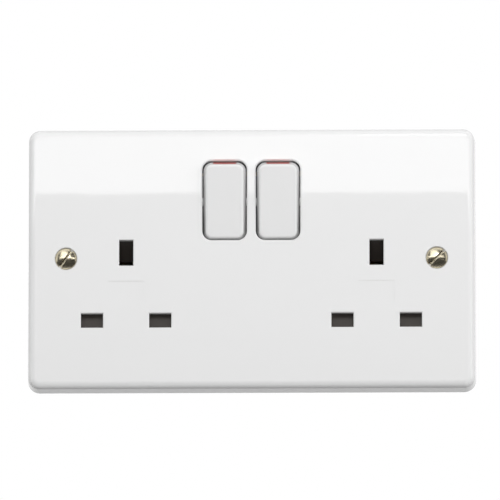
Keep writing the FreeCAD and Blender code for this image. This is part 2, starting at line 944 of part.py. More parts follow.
def rear_pockets():
    """Cuts from behind for the earth bar, the terminals and the assembly screws."""
    half = earth_width / 2 + play
    open_y = shroud_y + over_cut
    cuts = [box(-socket_x, socket_x, earth_y, open_y, earth_z - half, earth_z + half)]
    for x in (-socket_x, socket_x):
        cuts.append(box(x - half, x + half, earth_y, open_y, earth_z - half, block_z))
        clip_x = clip_half + play
        clip_z = earth_clip_width / 2 + play
        cuts.append(
            box(x - clip_x, x + clip_x, earth_y, open_y, earth_z - clip_z, earth_z + clip_z)
        )
    side = block_width / 2 + play
    for x in terminal_places():
        cuts.append(box(x - side, x + side, block_y, open_y, block_z - play, bar_top + play))
        hole = wire_radius + screw_gap
        cuts.append(Part.makeCylinder(hole, 2 * mould_wall, V(x, wire_y, bar_top), V(0, 0, 1)))
    for x, z in assembly_points:
        cuts.append(rod(x, z, assembly_radius + play, deck_y - over_cut, open_y))
        cuts.append(rod(x, z, well_radius, assembly_seat, open_y))
    return cuts


def cores():
    """Hollows from behind that keep the right-hand walls even."""
    wall = mould_wall
    low = -mould_top + wall
    earth_low = earth_z - earth_width / 2 - wall
    earth_high = earth_z + earth_width / 2 + wall
    screw_edge = low_screw_x + well_radius + wall
    shroud_low = block_z - 2 * wall
    riser = socket_x - earth_width / 2 - wall
    spans = [
        (screw_edge, socket_x - wall / 2, low, foot_top - wall),
        (socket_x + wall / 2, foot_half - wall, low, foot_top - wall),
        (well_radius + wall, screw_edge - wall, low_screw_z + well_radius + wall, earth_low),
        (wall, outer_pole + wall, earth_high, shroud_low),
        (outer_pole + 2 * wall, riser, earth_high, shroud_low),
    ]
    return [
        round_prism(
            (x0 + x1) / 2, (z0 + z1) / 2, x1 - x0, z1 - z0, core_corner, core_y, back_y + over_cut
        )
        for x0, x1, z0, z1 in spans
    ]


def back_moulding():
    right = socket_pockets() + switch_wells() + cores()
    left = [mirrored(shape, -1) for shape in right]
    cuts = right + left + bar_channels() + rear_pockets()
    body = mould_body()
    for cut in cuts:
        body = body.cut(cut)
    return body.removeSplitter()


def build():
    parts = {
        "front_plate": front_plate(),
        "back_moulding": back_moulding(),
        "fixed_tips": fixed_tips(),
        "live_bar": live_bar(),
        "neutral_bar": neutral_bar(),
        "earth_bar": earth_bar(),
        "terminal_screws": terminal_screws(),
        "assembly_screws": assembly_screws(),
        "fixing_screws": fixing_screws(),
    }
    terminals = ("earth_terminal_left", "neutral_terminal", "live_terminal", "earth_terminal_right")
    for name, x in zip(terminals, terminal_places()):
        parts[name] = terminal_block(x)
    near = line_contact(near_x, inner_pole, near_path())
    far = line_contact(far_x, outer_pole, far_path())
    poles = {
        "neutral_left": (-outer_pole, far),
        "live_left": (-inner_pole, near),
        "neutral_right": (inner_pole, near),
        "live_right": (outer_pole, far),
    }
    for name, (x, contact) in poles.items():
        parts["contact_" + name] = mirrored(contact, x)
        parts["seesaw_" + name] = seesaw(x)
        parts["tip_" + name] = moving_tip(x)
    for name, side in sides.items():
        parts["rocker_" + name] = rocker(side * rocker_x)
        parts["plunger_" + name] = plunger(side * rocker_x)
        parts["plunger_spring_" + name] = plunger_spring(side * rocker_x)
        parts["shutter_" + name] = shutter(side * socket_x)
        parts["shutter_spring_" + name] = shutter_spring(side * socket_x)
    return parts


os.makedirs("parts", exist_ok=True)
for node, shape in build().items():
    shape.exportStep("parts/" + node + ".step")
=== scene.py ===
import math

import bmesh
import bpy
from bpy.props import FloatProperty, FloatVectorProperty, IntProperty, PointerProperty
from mathutils import Matrix, Vector


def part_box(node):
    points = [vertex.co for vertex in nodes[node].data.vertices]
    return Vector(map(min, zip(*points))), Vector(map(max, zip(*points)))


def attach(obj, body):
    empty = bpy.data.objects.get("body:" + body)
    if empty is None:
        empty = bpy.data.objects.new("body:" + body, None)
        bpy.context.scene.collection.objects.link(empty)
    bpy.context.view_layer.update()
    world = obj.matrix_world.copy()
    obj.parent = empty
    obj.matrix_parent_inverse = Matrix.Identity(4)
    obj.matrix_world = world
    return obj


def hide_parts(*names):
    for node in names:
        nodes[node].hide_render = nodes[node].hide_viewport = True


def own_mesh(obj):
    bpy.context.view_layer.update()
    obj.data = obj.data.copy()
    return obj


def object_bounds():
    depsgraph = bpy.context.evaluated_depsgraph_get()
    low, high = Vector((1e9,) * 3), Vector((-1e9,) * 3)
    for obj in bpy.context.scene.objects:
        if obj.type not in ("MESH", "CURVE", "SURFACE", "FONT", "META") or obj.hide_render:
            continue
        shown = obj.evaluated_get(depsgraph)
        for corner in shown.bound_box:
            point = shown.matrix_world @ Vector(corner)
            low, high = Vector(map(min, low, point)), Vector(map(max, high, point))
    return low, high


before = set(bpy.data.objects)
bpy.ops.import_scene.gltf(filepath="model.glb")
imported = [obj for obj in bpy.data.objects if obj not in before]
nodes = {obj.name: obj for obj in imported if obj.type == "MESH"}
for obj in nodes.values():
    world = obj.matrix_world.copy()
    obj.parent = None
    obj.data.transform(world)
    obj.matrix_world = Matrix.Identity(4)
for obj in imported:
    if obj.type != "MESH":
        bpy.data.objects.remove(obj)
cad_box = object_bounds()

bl_info = {
    "name": "Twin Switched Socket",
    "version": (1, 0, 0),
    "blender": (4, 5, 0),
    "location": "View3D > Sidebar > Socket",
    "description": "Dresses a twin switched wall socket and sets up its studio",
    "category": "Object",
}

POLES = ("neutral_left", "live_left", "neutral_right", "live_right")
SIDES = ("left", "right")
TERMINALS = ("earth_terminal_left", "neutral_terminal", "live_terminal", "earth_terminal_right")

MIDDLE = (0.0, 0.0, 0.0)
NOISE_LOW = 0.3
NOISE_HIGH = 0.7
BUMP_DISTANCE = 0.0001
SHARP_ANGLE = math.radians(28)
WELD_DISTANCE = 0.000002
SLOT_WIDTH = 0.0009
EVEN_GRAIN = (2500.0, 2500.0, 2500.0)


def colour(name, text, default):
    return FloatVectorProperty(
        name=name, description=text, subtype="COLOR", size=3, min=0.0, max=1.0, default=default
    )


def length(name, text, default):
    return FloatProperty(
        name=name, description=text, unit="LENGTH", subtype="DISTANCE", default=default
    )


def power(name, text, default):
    return FloatProperty(name=name, description=text, unit="POWER", default=default)


def strength(name, text, default):
    return FloatProperty(name=name, description=text, default=default)


def turns(name, text, default):
    return IntProperty(name=name, description=text, default=default)


class SocketFinish(bpy.types.PropertyGroup):
    """Colours of the mouldings and metals."""

    plate: colour("Plate white", "Glossy white of the front plate", (0.80, 0.80, 0.80))
    # Rocker white is the plate's plastic set a little darker: painted shade for the tilted rockers.
    rocker: colour("Rocker white", "Glossy white of the rockers", (0.77, 0.77, 0.77))
    red_line: colour("Red line", "Paint on the top end of each rocker", (0.72, 0.06, 0.03))
    back: colour("Back grey", "Matt grey of the back moulding", (0.12, 0.122, 0.126))
    # Shutter charcoal is partly the part's own colour and partly painted shade: it is darker than
    # its own grey so that the slots look darker.
    shutter: colour("Shutter grey", "Charcoal of the shutters", (0.040, 0.033, 0.028))
    nylon: colour("Nylon", "Natural nylon of the plungers", (0.70, 0.66, 0.56))
    strip: colour("Strip brass", "Rolled brass of the bars and contacts", (0.78, 0.56, 0.25))
    block: colour("Block brass", "Drawn brass of the terminals", (0.80, 0.60, 0.30))
    silver: colour("Contact silver", "Silver alloy of the contact tips", (0.86, 0.86, 0.84))
    steel: colour("Spring steel", "Drawn wire of the springs", (0.48, 0.48, 0.49))
    zinc: colour("Zinc", "Plating of the assembly screws", (0.66, 0.67, 0.68))
    nickel: colour("Warm nickel", "Plating of the fixing screws", (0.74, 0.67, 0.50))


class SocketSizes(bpy.types.PropertyGroup):
    """Sizes of the pieces that the scene makes in full."""

    line_width: length("Red line width", "Length of the line across a rocker's end", 0.0074)
    line_front: length("Red line front", "Depth at which the line starts", -0.0100)
    line_back: length("Red line back", "Depth at which the line ends", -0.0078)
    wire: length("Spring wire", "Thickness of the spring wire", 0.00045)
    coil: length("Spring coil", "Mean radius of a spring's turns", 0.00125)
    fixing_pitch: length("Fixing thread pitch", "Pitch of the fixing screws", 0.0006)
    assembly_pitch: length("Assembly thread pitch", "Pitch of the assembly screws", 0.0011)
    clamp_pitch: length("Clamp thread pitch", "Pitch of the terminal screws", 0.0005)
    shutter_turns: turns("Shutter spring turns", "Turns of a shutter spring", 11)
    plunger_turns: turns("Plunger spring turns", "Turns of a plunger spring", 6)


class SocketStudio(bpy.types.PropertyGroup):
    """Camera and lamps."""

    distance: length("Camera distance", "From the plate's face to the camera", 2.5)
    camera_height: length("Camera height", "Of the camera above the fixing screws", -0.373)
    camera_across: length("Camera across", "Of the camera, right of the plate's middle", 0.06)
    aim_across: length("Aim across", "Picture's middle, right of the plate's middle", -0.00036)
    aim_height: length("Aim height", "Middle of the picture, above the fixing screws", 0.0023)
    picture_width: length("Picture width", "What the picture spans at the plate's face", 0.1624)
    strip_power: power("Strip light", "Power of the strip light", 0.27)
    key_power: power("Key light", "Power of the key light", 5.4)
    side_power: power("Side lights", "Power of the right light, of which the left has a share", 4.2)
    low_power: power("Low light", "Power of the light from below", 4.6)
    back_power: power("Back light", "Power of the light behind", 5.0)
    fill_above: strength("Fill above", "Strength of the soft light from above", 0.5)
    fill_below: strength("Fill below", "Strength of the soft light from below", 0.32)


# Shader groups


def add_node(tree, kind, **settings):
    node = tree.nodes.new(kind)
    for key, value in settings.items():
        setattr(node, key, value)
    return node


def new_group(name, inputs, outputs):
    group = bpy.data.node_groups.new(name, "ShaderNodeTree")
    for way, sockets in (("INPUT", inputs), ("OUTPUT", outputs)):
        for label, kind in sockets:
            group.interface.new_socket(name=label, in_out=way, socket_type="NodeSocket" + kind)
    return group, add_node(group, "NodeGroupInput"), add_node(group, "NodeGroupOutput")


def noise(tree, vector, scale, detail):
    node = add_node(tree, "ShaderNodeTexNoise")
    node.inputs["Detail"].default_value = detail
    tree.links.new(vector, node.inputs["Vector"])
    if isinstance(scale, (int, float)):
        node.inputs["Scale"].default_value = scale
    else:
        tree.links.new(scale, node.inputs["Scale"])
    return node.outputs["Fac"]


def spread(tree, value, low, high):
    """Map a noise's middle range to the range between two sockets."""
    node = add_node(tree, "ShaderNodeMapRange")
    node.inputs["From Min"].default_value = NOISE_LOW
    node.inputs["From Max"].default_value = NOISE_HIGH
    tree.links.new(value, node.inputs["Value"])
    tree.links.new(low, node.inputs["To Min"])
    tree.links.new(high, node.inputs["To Max"])
    return node.outputs["Result"]


def blend_colours(tree, factor, first, second):
    node = add_node(tree, "ShaderNodeMix", data_type="RGBA")
    tree.links.new(factor, node.inputs["Factor"])
    tree.links.new(first, node.inputs["A"])
    tree.links.new(second, node.inputs["B"])
    return node.outputs["Result"]


def moulded_grain():
    """Flow clouds and a fine surface grain for moulded plastic."""
    group, given, out = new_group(
        "Moulded grain",
        [
            ("Light", "Color"),
            ("Shade", "Color"),
            ("Cloud Scale", "Float"),
            ("Grain Scale", "Float"),
            ("Smooth", "Float"),
            ("Rough", "Float"),
        ],
        [("Color", "Color"), ("Roughness", "Float"), ("Height", "Float")],
    )
    place = add_node(group, "ShaderNodeTexCoord").outputs["Object"]
    cloud = noise(group, place, given.outputs["Cloud Scale"], 3.0)
    grain = noise(group, place, given.outputs["Grain Scale"], 2.0)
    tint = blend_colours(group, cloud, given.outputs["Light"], given.outputs["Shade"])
    sheen = spread(group, grain, given.outputs["Smooth"], given.outputs["Rough"])
    group.links.new(tint, out.inputs["Color"])
    group.links.new(sheen, out.inputs["Roughness"])
    group.links.new(grain, out.inputs["Height"])
    return group


def worked_metal():
    """Drawn or rolled grain along one direction, with dull patches."""
    group, given, out = new_group(
        "Worked metal",
        [
            ("Clean", "Color"),
            ("Dull", "Color"),
            ("Stretch", "Vector"),
            ("Patch Scale", "Float"),
            ("Smooth", "Float"),
            ("Rough", "Float"),
        ],
        [("Color", "Color"), ("Roughness", "Float"), ("Height", "Float")],
    )
    place = add_node(group, "ShaderNodeTexCoord").outputs["Object"]
    drawn = add_node(group, "ShaderNodeVectorMath", operation="MULTIPLY")
    group.links.new(place, drawn.inputs[0])
    group.links.new(given.outputs["Stretch"], drawn.inputs[1])
    lines = noise(group, drawn.outputs["Vector"], 1.0, 4.0)
    patch = noise(group, place, given.outputs["Patch Scale"], 5.0)
    mix = add_node(group, "ShaderNodeMath", operation="MULTIPLY_ADD")
    mix.inputs[1].default_value = 0.5
    group.links.new(lines, mix.inputs[0])
    half = add_node(group, "ShaderNodeMath", operation="MULTIPLY")
    half.inputs[1].default_value = 0.5
    group.links.new(patch, half.inputs[0])
    group.links.new(half.outputs["Value"], mix.inputs[2])
    tint = blend_colours(group, mix.outputs["Value"], given.outputs["Clean"], given.outputs["Dull"])
    sheen = spread(group, mix.outputs["Value"], given.outputs["Smooth"], given.outputs["Rough"])
    group.links.new(tint, out.inputs["Color"])
    group.links.new(sheen, out.inputs["Roughness"])
    group.links.new(lines, out.inputs["Height"])
    return group


def shared(name):
    """One of the shader groups, built when it is first asked for."""
    makers = {"Moulded grain": moulded_grain, "Worked metal": worked_metal}
    return bpy.data.node_groups.get(name) or makers[name]()


# Materials


def rgba(tint, share=1.0):
    return (tint[0] * share, tint[1] * share, tint[2] * share, 1.0)


def surface(name, group_name, values, bump, **constants):
    """Material whose colour, roughness and bump come from a shader group."""
    made = bpy.data.materials.get(name)
    if made:
        return made
    made = bpy.data.materials.new(name)
    made.use_nodes = True
    tree = made.node_tree
    shader = tree.nodes["Principled BSDF"]
    for key, value in constants.items():
        shader.inputs[key.replace("_", " ")].default_value = value
    effect = add_node(tree, "ShaderNodeGroup", node_tree=shared(group_name), name="Effect")
    for key, value in values.items():
        effect.inputs[key].default_value = value
    height = add_node(tree, "ShaderNodeBump")
    height.inputs["Strength"].default_value = bump
    height.inputs["Distance"].default_value = BUMP_DISTANCE
    tree.links.new(effect.outputs["Height"], height.inputs["Height"])
    tree.links.new(effect.outputs["Color"], shader.inputs["Base Color"])
    tree.links.new(effect.outputs["Roughness"], shader.inputs["Roughness"])
    tree.links.new(height.outputs["Normal"], shader.inputs["Normal"])
    return made


def glossy_white(name, tint):
    values = {
        "Light": rgba(tint),
        "Shade": rgba(tint, 0.985),
        "Cloud Scale": 60.0,
        "Grain Scale": 1500.0,
        "Smooth": 0.02,
        "Rough": 0.035,
    }
    return surface(name, "Moulded grain", values, 0.01, IOR=1.5)


def matt_plastic(name, tint, smooth, rough, bump):
    values = {
        "Light": rgba(tint, 1.1),
        "Shade": rgba(tint, 0.85),
        "Cloud Scale": 140.0,
        "Grain Scale": 6000.0,
        "Smooth": smooth,
        "Rough": rough,
    }
    return surface(name, "Moulded grain", values, bump, IOR=1.48)


def metal(name, tint, stretch, smooth, rough, dull=0.75):
    values = {
        "Clean": rgba(tint),
        "Dull": rgba(tint, dull),
        "Stretch": stretch,
        "Patch Scale": 350.0,
        "Smooth": smooth,
        "Rough": rough,
    }
    return surface(name, "Worked metal", values, 0.12, Metallic=1.0)


def compare_band(tree, value, low, high, soft):
    """Mask that is 1 between two values, with soft ends."""
    masks = []
    for edge, rising in ((low, True), (high, False)):
        node = add_node(tree, "ShaderNodeMapRange", interpolation_type="SMOOTHSTEP")
        node.inputs["From Min"].default_value = edge - soft
        node.inputs["From Max"].default_value = edge + soft
        node.inputs["To Min"].default_value = 0.0 if rising else 1.0
        node.inputs["To Max"].default_value = 1.0 if rising else 0.0
        tree.links.new(value, node.inputs["Value"])
        masks.append(node.outputs["Result"])
    both = add_node(tree, "ShaderNodeMath", operation="MULTIPLY")
    tree.links.new(masks[0], both.inputs[0])
    tree.links.new(masks[1], both.inputs[1])
    return both.outputs["Value"]


def paint_red_line(made, finish, sizes):
    """Red paint across the top end of each rocker, placed in the rocker's own frame."""
    tree = made.node_tree
    if "Red line" in tree.nodes:
        return
    low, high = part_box("rocker_right")
    middle = (low.x + high.x) / 2
    place = add_node(tree, "ShaderNodeTexCoord")
    parts = add_node(tree, "ShaderNodeSeparateXYZ")
    tree.links.new(place.outputs["Object"], parts.inputs["Vector"])
    across = add_node(tree, "ShaderNodeMath", operation="ABSOLUTE")
    tree.links.new(parts.outputs["X"], across.inputs[0])
    half = sizes.line_width / 2
    soft = half / 40
    reach = 0.003
    band_x = compare_band(tree, across.outputs["Value"], middle - half, middle + half, soft)
    band_y = compare_band(tree, parts.outputs["Y"], sizes.line_front, sizes.line_back, soft)
    top = compare_band(tree, parts.outputs["Z"], high.z - reach, high.z + reach, soft)
    line = add_node(tree, "ShaderNodeMath", operation="MULTIPLY")
    tree.links.new(band_x, line.inputs[0])
    tree.links.new(band_y, line.inputs[1])
    mask = add_node(tree, "ShaderNodeMath", operation="MULTIPLY")
    tree.links.new(line.outputs["Value"], mask.inputs[0])
    tree.links.new(top, mask.inputs[1])
    paint = add_node(tree, "ShaderNodeMix", data_type="RGBA", name="Red line")
    paint.inputs["B"].default_value = rgba(finish.red_line)
    tree.links.new(mask.outputs["Value"], paint.inputs["Factor"])
    tree.links.new(tree.nodes["Effect"].outputs["Color"], paint.inputs["A"])
    tree.links.new(paint.outputs["Result"], tree.nodes["Principled BSDF"].inputs["Base Color"])


def smooth_edges():
    """Modifier group that shades a CAD mesh smooth, apart from its sharp edges."""
    name = "Smooth but sharp edges"
    made = bpy.data.node_groups.get(name)
    if made:
        return made
    made = bpy.data.node_groups.new(name, "GeometryNodeTree")
    for way in ("INPUT", "OUTPUT"):
        made.interface.new_socket(name="Geometry", in_out=way, socket_type="NodeSocketGeometry")
    given = add_node(made, "NodeGroupInput")
    out = add_node(made, "NodeGroupOutput")
    weld = add_node(made, "GeometryNodeMergeByDistance")
    weld.inputs["Distance"].default_value = WELD_DISTANCE
    angle = add_node(made, "GeometryNodeInputMeshEdgeAngle")
    flat = add_node(made, "FunctionNodeCompare", data_type="FLOAT", operation="LESS_THAN")
    flat.inputs["B"].default_value = SHARP_ANGLE
    faces = add_node(made, "GeometryNodeSetShadeSmooth", domain="FACE")
    edges = add_node(made, "GeometryNodeSetShadeSmooth", domain="EDGE")
    made.links.new(given.outputs["Geometry"], weld.inputs["Geometry"])
    made.links.new(weld.outputs["Geometry"], faces.inputs["Geometry"])
    made.links.new(faces.outputs["Geometry"], edges.inputs["Geometry"])
    made.links.new(angle.outputs["Unsigned Angle"], flat.inputs["A"])
    made.links.new(flat.outputs["Result"], edges.inputs["Shade Smooth"])
    made.links.new(edges.outputs["Geometry"], out.inputs["Geometry"])
    return made


def dress(node, material):
    """Give a CAD node its finish and soft shading."""
    piece = nodes[node]
    piece.data.materials.clear()
    piece.data.materials.append(material)
    shade = piece.modifiers.new("Shading", "NODES")
    shade.node_group = smooth_edges()
    level = piece.modifiers.new("Level faces", "WEIGHTED_NORMAL")
    level.keep_sharp = True
    level.weight = 100
    return piece


# Meshes


def new_piece(name, bm, material, body):
    mesh = bpy.data.meshes.new(name)
    bmesh.ops.recalc_face_normals(bm, faces=bm.faces)
    bm.to_mesh(mesh)
    bm.free()
    mesh.materials.append(material)
    piece = bpy.data.objects.new(name, mesh)
    bpy.context.scene.collection.objects.link(piece)
    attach(piece, body)
    return piece


def shade_by_angle(piece, degrees):
    bpy.context.view_layer.objects.active = piece
    chosen = {"object": piece, "active_object": piece, "selected_editable_objects": [piece]}
    with bpy.context.temp_override(**chosen):
        bpy.ops.object.shade_smooth_by_angle(angle=math.radians(degrees))


def join_rings(bm, rings):
    """Faces between each ring of vertices and the next."""
    sides = len(rings[0])
    for here, after in zip(rings, rings[1:]):
        for side in range(sides):
            beside = (side + 1) % sides
            bm.faces.new((here[side], here[beside], after[beside], after[side]))


def lathe(bm, rows, sides):
    """Closed turned solid along Y; each row gives a depth and a radius for each angle."""
    rings = []
    for depth, radius_at in rows:
        ring = []
        for side in range(sides):
            turn = 2 * math.pi * side / sides
            radius = radius_at(turn)
            ring.append(bm.verts.new((radius * math.cos(turn), depth, radius * math.sin(turn))))
        rings.append(ring)
    join_rings(bm, rings)
    for ring in (rings[0], rings[-1]):
        end = bm.verts.new((0.0, ring[0].co.y, 0.0))
        for side in range(sides):
            bm.faces.new((ring[side], ring[(side + 1) % sides], end))


def plain(radius):
    return lambda turn: radius


def thread_rows(start, end, core, crest, pitch, steps=8):
    """Rows of a screw thread, which rises and fades out over one pitch at each end."""
    count = max(int((end - start) / pitch * steps), 2)
    rows = []
    for number in range(count + 1):
        depth = start + (end - start) * number / count
        fade = min(1.0, (depth - start) / pitch, (end - depth) / pitch)

        def radius_at(turn, depth=depth, fade=fade):
            phase = (depth / pitch + turn / (2 * math.pi)) % 1.0
            ridge = min(1.0, max(0.0, 1.3 - 2.6 * abs(phase - 0.5)))
            return core + (crest - core) * ridge * fade

        rows.append((depth, radius_at))
    return rows


def cut_slot(bm, top, depth, width, reach, turn):
    """Cut a driving slot across a screw head that points along -Y."""
    cutter = bmesh.new()
    bmesh.ops.create_cube(cutter, size=1.0)
    scale = Matrix.Diagonal((2 * reach, 2 * depth, width, 1.0))
    spin = Matrix.Rotation(math.radians(-turn), 4, "Y")
    place = Matrix.Translation((0.0, top, 0.0)) @ spin @ scale
    bmesh.ops.transform(cutter, matrix=place, verts=cutter.verts)
    solids = []
    for name, source in (("slot_head", bm), ("slot_cutter", cutter)):
        mesh = bpy.data.meshes.new(name)
        bmesh.ops.recalc_face_normals(source, faces=source.faces)
        source.to_mesh(mesh)
        source.free()
        solid = bpy.data.objects.new(name, mesh)
        bpy.context.scene.collection.objects.link(solid)
        solids.append(solid)
    cut = solids[0].modifiers.new("Slot", "BOOLEAN")
    cut.object = solids[1]
    cut.solver = "EXACT"
    bpy.context.view_layer.update()
    result = bmesh.new()
    result.from_object(solids[0], bpy.context.evaluated_depsgraph_get())
    for solid in solids:
        mesh = solid.data
        bpy.data.objects.remove(solid)
        bpy.data.meshes.remove(mesh)
    return result


def islands(node):
    """Middles, as X and Z, of the separate solids in a CAD node, from left to right."""
    bm = bmesh.new()
    bm.from_mesh(nodes[node].data)
    bmesh.ops.remove_doubles(bm, verts=bm.verts, dist=WELD_DISTANCE)
    left = set(bm.verts)
    middles = []
    while left:
        stack = [left.pop()]
        seen = []
        while stack:
            vert = stack.pop()
            seen.append(vert.co.copy())
            for edge in vert.link_edges:
                other = edge.other_vert(vert)
                if other in left:
                    left.remove(other)
                    stack.append(other)
        xs = [p.x for p in seen]
        zs = [p.z for p in seen]
        middles.append(((min(xs) + max(xs)) / 2, (min(zs) + max(zs)) / 2))
    bm.free()
    return sorted(middles)


def joined_screws(screws):
    """One mesh from screws, each with the matrix that puts it in its place."""
    whole = bmesh.new()
    for bm, place in screws:
        bmesh.ops.transform(bm, matrix=place, verts=bm.verts)
        mesh = bpy.data.meshes.new("screw")
        bm.to_mesh(mesh)
        bm.free()
        whole.from_mesh(mesh)
        bpy.data.meshes.remove(mesh)
    return whole


def raised_screw(top, rim_y, rim, neck, seat_y, thread, tip, pitch, turn):
    """Raised countersunk slotted screw, with its axis on Y."""
    rise = rim_y - top
    dome = (rim ** 2 + rise ** 2) / (2 * rise)
    rows = []
    steps = 12
    for number in range(1, steps + 1):
        radius = rim * number / steps
        rows.append((top + dome - math.sqrt(dome ** 2 - radius ** 2), plain(radius)))
    land = 0.00012
    rows.append((rim_y + land, plain(rim)))
    rows.append((rim_y + land + rim - neck, plain(neck)))
    rows.append((seat_y, plain(neck)))
    rows += thread_rows(seat_y, tip - thread / 2, neck, thread, pitch)
    rows.append((tip, plain(thread / 2)))
    bm = bmesh.new()
    lathe(bm, rows, sides=64)
    return cut_slot(bm, top, rise * 1.5, SLOT_WIDTH, 2 * rim, turn)


def cheese_screw(head, height, shank, reach, pitch, turn):
    """Cheese-head slotted screw: its head points along -Y and ends underneath at 0."""
    edge = height / 5
    rows = []
    steps = 5
    for number in range(steps + 1):
        swing = math.pi / 2 * number / steps
        radius = head - edge + edge * math.sin(swing)
        rows.append((-height + edge - edge * math.cos(swing), plain(radius)))
    rows.append((-edge / 2, plain(head)))
    rows.append((0.0, plain(head - edge / 2)))
    rows.append((0.0, plain(shank)))
    core = shank * 0.78
    rows += thread_rows(pitch / 4, reach - shank / 2, core, shank, pitch, steps=6)
    rows.append((reach, plain(shank / 2)))
    bm = bmesh.new()
    lathe(bm, rows, sides=40)
    return cut_slot(bm, -height, height / 2, SLOT_WIDTH, 2 * head, turn)


def coil_spring(bm, turns, height, radius, wire):
    """Round wire spring with closed end turns that stands on the origin along Z."""
    steps = 20
    sides = 8
    closed = 1.25
    dead = wire * closed
    open_turns = turns - 2 * closed
    pitch = (height - wire - 2 * dead) / open_turns
    rings = []
    for number in range(turns * steps + 1):
        turned = number / steps
        if turned < closed:
            rise = wire * turned
        elif turned > turns - closed:
            rise = height - wire - wire * (turns - turned)
        else:
            rise = dead + pitch * (turned - closed)
        angle = 2 * math.pi * turned
        out = Vector((math.cos(angle), math.sin(angle), 0.0))
        centre = out * radius + Vector((0.0, 0.0, rise + wire / 2))
        ring = []
        for side in range(sides):
            swing = 2 * math.pi * side / sides
            offset = out * math.cos(swing) + Vector((0.0, 0.0, math.sin(swing)))
            ring.append(bm.verts.new(centre + offset * (wire / 2)))
        rings.append(ring)
    join_rings(bm, rings)
    bm.faces.new(rings[0])
    bm.faces.new(rings[-1])


# Operators


class SOCKET_OT_plate(bpy.types.Operator):
    """Finish the front plate in glossy white"""

    bl_idname = "socket.plate"
    bl_label = "Front Plate"

    def execute(self, context):
        dress("front_plate", glossy_white("plate white", context.scene.socket_finish.plate))
        return {"FINISHED"}


class SOCKET_OT_rockers(bpy.types.Operator):
    """Finish the rockers, with the red line on their top ends, and their plungers"""

    bl_idname = "socket.rockers"
    bl_label = "Rockers and Plungers"

    def execute(self, context):
        finish = context.scene.socket_finish
        # The rocker white holds painted shade: it is a little darker than the plate white.
        white = glossy_white("rocker white", finish.rocker)
        paint_red_line(white, finish, context.scene.socket_sizes)
        nylon = matt_plastic("natural nylon", finish.nylon, smooth=0.35, rough=0.5, bump=0.02)
        for side in SIDES:
            dress("rocker_" + side, white)
            dress("plunger_" + side, nylon)
        return {"FINISHED"}


class SOCKET_OT_back(bpy.types.Operator):
    """Finish the back moulding and the shutters in matt plastic"""

    bl_idname = "socket.back"
    bl_label = "Back Moulding and Shutters"

    def execute(self, context):
        finish = context.scene.socket_finish
        grey = matt_plastic("back grey", finish.back, smooth=0.5, rough=0.68, bump=0.1)
        dress("back_moulding", grey)
        # The shutter grey is partly painted shade for the slots that it is seen through.
        dark = matt_plastic("shutter grey", finish.shutter, smooth=0.45, rough=0.6, bump=0.06)
        for side in SIDES:
            dress("shutter_" + side, dark)
        return {"FINISHED"}


class SOCKET_OT_conductors(bpy.types.Operator):
    """Finish the bars, contacts and terminals in brass and the tips in silver"""

    bl_idname = "socket.conductors"
    bl_label = "Conductors"

    def execute(self, context):
        finish = context.scene.socket_finish
        rolled = (900.0, 900.0, 9000.0)
        drawn = (7000.0, 7000.0, 500.0)
        strip = metal("rolled brass", finish.strip, rolled, smooth=0.22, rough=0.42)
        block = metal("drawn brass", finish.block, drawn, smooth=0.2, rough=0.38)
        silver = metal(
            "contact silver", finish.silver, EVEN_GRAIN, smooth=0.25, rough=0.45, dull=0.85
        )
        for node in ("live_bar", "neutral_bar", "earth_bar"):
            dress(node, strip)
        for node in TERMINALS:
            dress(node, block)
        for pole in POLES:
            dress("contact_" + pole, strip)
            dress("seesaw_" + pole, strip)
            dress("tip_" + pole, silver)
        dress("fixed_tips", silver)
        return {"FINISHED"}


class SOCKET_OT_fixing_screws(bpy.types.Operator):
    """Make the two raised slotted fixing screws with their threads"""

    bl_idname = "socket.fixing_screws"
    bl_label = "Fixing Screws"

    def execute(self, context):
        sizes = context.scene.socket_sizes
        low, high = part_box("fixing_screws")
        rim = 0.0035
        neck = 0.0015
        thread = 0.00175
        rim_y = low.y + 0.0011
        pitch = sizes.fixing_pitch
        screws = []
        for x, turn in ((low.x + rim, 55.0), (high.x - rim, 45.0)):
            screw = raised_screw(low.y, rim_y, rim, neck, 0.0, thread, high.y, pitch, turn)
            screws.append((screw, Matrix.Translation((x, 0.0, 0.0))))
        tint = context.scene.socket_finish.nickel
        grain = (1500.0, 1500.0, 1500.0)
        nickel = metal("warm nickel", tint, grain, smooth=0.16, rough=0.28, dull=0.85)
        whole = joined_screws(screws)
        piece = new_piece("fixing_screw_pair", whole, nickel, "housing")
        shade_by_angle(piece, degrees=35)
        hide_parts("fixing_screws")
        return {"FINISHED"}


class SOCKET_OT_rear_screws(bpy.types.Operator):
    """Make the terminal screws and the assembly screws, seen from behind"""

    bl_idname = "socket.rear_screws"
    bl_label = "Terminal and Assembly Screws"

    def execute(self, context):
        sizes = context.scene.socket_sizes
        finish = context.scene.socket_finish
        height = 0.0016
        brass = metal("turned brass", finish.block, EVEN_GRAIN, smooth=0.18, rough=0.32)
        zinc = metal("zinc plate", finish.zinc, EVEN_GRAIN, smooth=0.25, rough=0.42, dull=0.85)
        # Node, radius of head and shank, pitch, turn from slot to slot, slot and material
        groups = (
            ("terminal_screws", 0.0027, 0.0017, sizes.clamp_pitch, 55.0, "brass_block", brass),
            ("assembly_screws", 0.0026, 0.0014, sizes.assembly_pitch, 45.0, "zinc_screw", zinc),
        )
        for node, head, shank, pitch, step, slot, material in groups:
            low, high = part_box(node)
            seat = high.y - height
            screws = []
            for number, (x, z) in enumerate(islands(node)):
                screw = cheese_screw(head, height, shank, seat - low.y, pitch, -step * number)
                face_back = Matrix.Translation((x, seat, z)) @ Matrix.Rotation(math.pi, 4, "Z")
                screws.append((screw, face_back))
            whole = joined_screws(screws)
            piece = new_piece(node + "_threaded", whole, material, "housing")
            shade_by_angle(piece, degrees=35)
            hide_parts(node)
        return {"FINISHED"}


